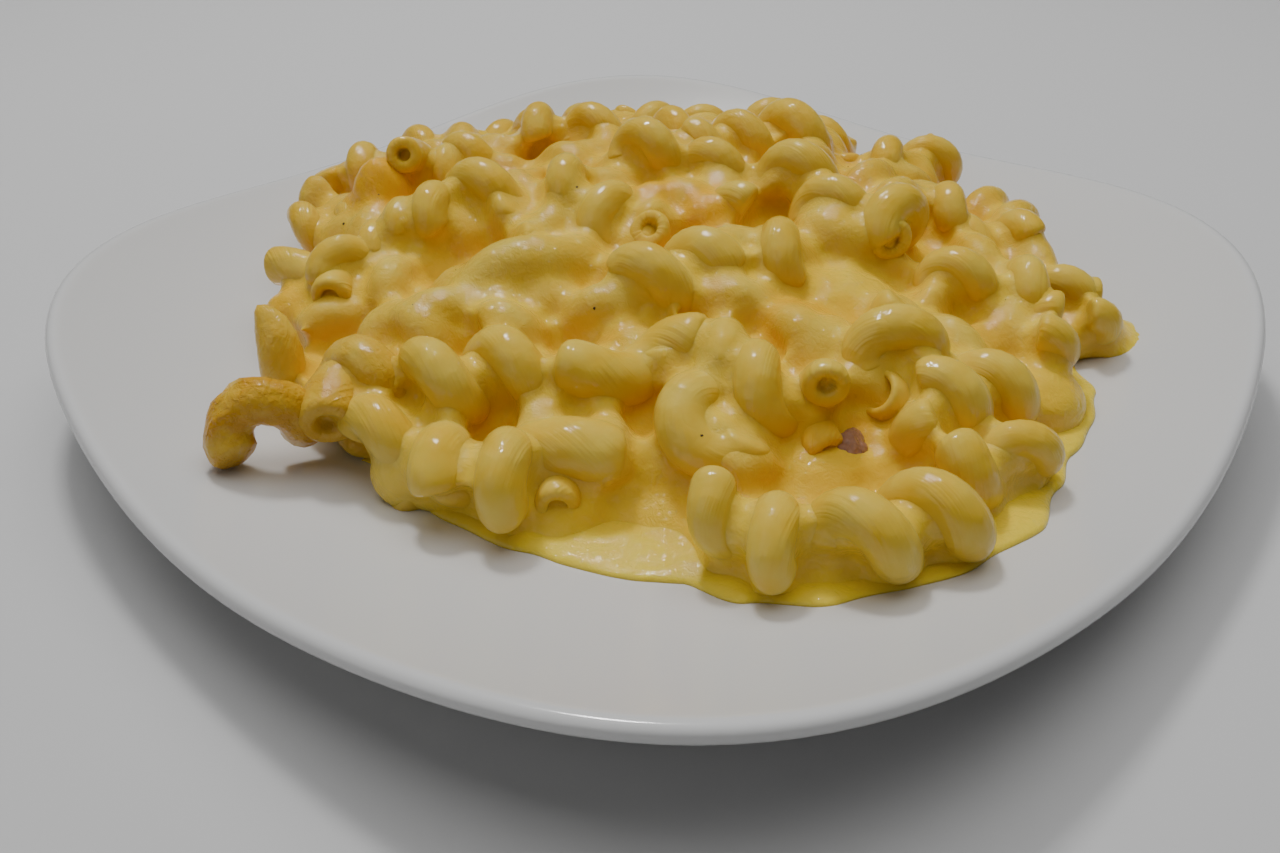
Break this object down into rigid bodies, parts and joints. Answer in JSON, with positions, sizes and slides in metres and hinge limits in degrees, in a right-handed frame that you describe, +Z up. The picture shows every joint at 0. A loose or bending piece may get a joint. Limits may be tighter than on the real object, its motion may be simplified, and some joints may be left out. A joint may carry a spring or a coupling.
{
  "type": "plate of macaroni and cheese",
  "caption": "Corkscrew macaroni heaped in cheese sauce on a rounded-square coupe plate of white porcelain.",
  "frame": {"origin": "centre of the plate's foot ring, on the surface that the plate stands on", "axes": "+Z up, X and Y along the plate's straight sides, the side that the heap spills towards facing +X -Y"},
  "size_m": [0.2094, 0.2094, 0.0447],
  "materials": {
    "porcelain": "glazed white",
    "pasta": "moist, coated in sauce",
    "sauce": "smooth and wet"
  },
  "bodies": {
    "root": {"plate": "porcelain", "macaroni_heap": "pasta", "cheese_sauce": "sauce"}
  },
  "joints": []
}
